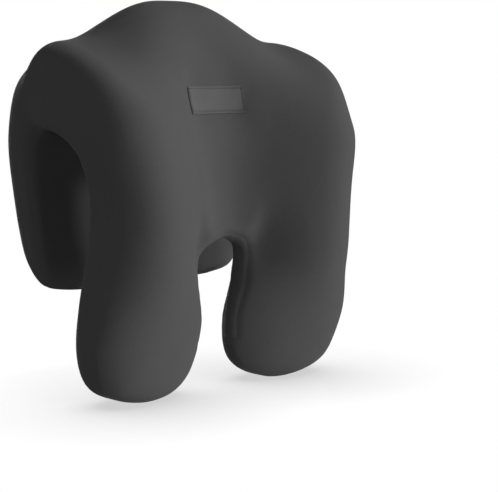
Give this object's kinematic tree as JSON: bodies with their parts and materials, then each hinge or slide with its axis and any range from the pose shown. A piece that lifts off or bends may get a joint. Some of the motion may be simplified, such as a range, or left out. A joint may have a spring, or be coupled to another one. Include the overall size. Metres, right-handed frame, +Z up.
{
  "type": "chair headrest attachment",
  "caption": "Saddle-shaped foam neck and head cushion with a zipped knit cover that hangs over the top edge of an office chair's back.",
  "frame": {"origin": "middle of the channel's arched ceiling, where the top edge of the chair back bears", "axes": "+X to the right of someone facing the front, the front faces -Y, +Z is up"},
  "size_m": [0.236, 0.1707, 0.2862],
  "materials": {
    "foam": "matte",
    "liner_tricot": "matte",
    "charcoal_knit": "matte",
    "zip_tape": "matte",
    "zip_coil": "satin",
    "zip_metal": "satin",
    "thread": "matte",
    "label_satin": "satin",
    "care_satin": "satin"
  },
  "bodies": {
    "cushion": {"foam_core": "foam", "inner_liner": "liner_tricot", "cover_shell": "charcoal_knit", "channel_lining": "charcoal_knit", "notch_gusset": "charcoal_knit", "rear_panel_upper": "charcoal_knit", "rear_panel_lower": "charcoal_knit", "zip_tape_upper": "zip_tape", "zip_tape_lower": "zip_tape", "zip_coil_upper": "zip_coil", "zip_coil_lower": "zip_coil", "zip_bottom_stop": "zip_metal", "zip_top_stops": "zip_metal", "zip_end_tabs": "charcoal_knit", "zip_stitching": "thread", "front_label": "label_satin", "label_stitching": "thread", "care_label": "care_satin"},
    "zip_slider": {"zip_slider": "zip_metal"},
    "zip_pull": {"zip_pull": "zip_metal"}
  },
  "joints": [
    {"name": "zip_slide", "type": "slide", "parent": "cushion", "child": "zip_slider", "axis": [1, 0, 0], "range_m": [0, 0.107]},
    {"name": "pull_flip", "type": "hinge", "parent": "zip_slider", "child": "zip_pull", "pos_m": [-0.051, 0.08, -0.05], "axis": [0, 0, 1], "range_deg": [0, 170]}
  ]
}
